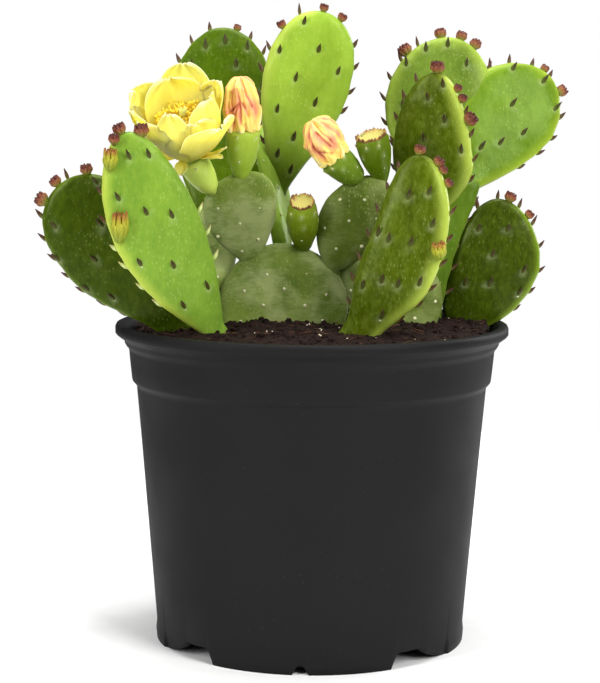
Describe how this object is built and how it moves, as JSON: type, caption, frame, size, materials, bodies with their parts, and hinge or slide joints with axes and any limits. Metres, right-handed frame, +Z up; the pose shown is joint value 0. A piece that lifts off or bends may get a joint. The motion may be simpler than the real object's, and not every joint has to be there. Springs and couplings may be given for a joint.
{
  "type": "potted paddle cactus",
  "caption": "Prickly-pear cactus of flat oval pads with an open yellow flower, withered blooms and small red buds, growing in soil in a tapered black nursery pot.",
  "frame": {"origin": "middle of the pot's footprint, on the surface that the pot stands on", "axes": "+Z up along the pot's axis; +Y away from the side that shows the open flower at the upper left; +X to the right of that side"},
  "size_m": [0.2301, 0.1697, 0.2763],
  "materials": {
    "pot_plastic": "satin moulded black plastic",
    "soil": "moist dark peat with fibres and grit",
    "young_pad": "waxy, softly glossy bright green skin",
    "dark_pad": "waxy, softly glossy dark green skin",
    "olive_pad": "waxy, softly glossy olive green skin",
    "old_pad": "grey-green skin with a pale waxy bloom",
    "ovary": "waxy green skin with pale dots",
    "petal": "satin, slightly see-through yellow petals",
    "stamen": "powdery golden yellow",
    "withered_petal": "dry, crumpled orange and pink petals"
  },
  "bodies": {
    "root": {"pot": "pot_plastic", "soil": "soil", "pad_front_left": "young_pad", "pad_top_centre": "young_pad", "pad_top_right": "young_pad", "pad_back_right": "young_pad", "pad_left_leaning": "dark_pad", "pad_back_left": "dark_pad", "pad_right_dark": "dark_pad", "pad_front_right": "olive_pad", "pad_right_middle": "olive_pad", "pad_basal_centre": "old_pad", "pad_old_left": "old_pad", "pad_old_right": "old_pad", "pad_old_left_low": "old_pad", "pad_old_right_low": "old_pad", "pad_basal_right": "old_pad", "pad_right_carrier": "dark_pad", "pad_edge_on": "dark_pad", "ovary_open_flower": "ovary", "ovary_withered_left": "ovary", "ovary_withered_right": "ovary", "fruit_cut_right": "ovary", "fruit_cut_centre": "ovary", "flower_petals": "petal", "flower_stamens": "stamen", "withered_flower_left": "withered_petal", "withered_flower_right": "withered_petal"}
  },
  "joints": []
}
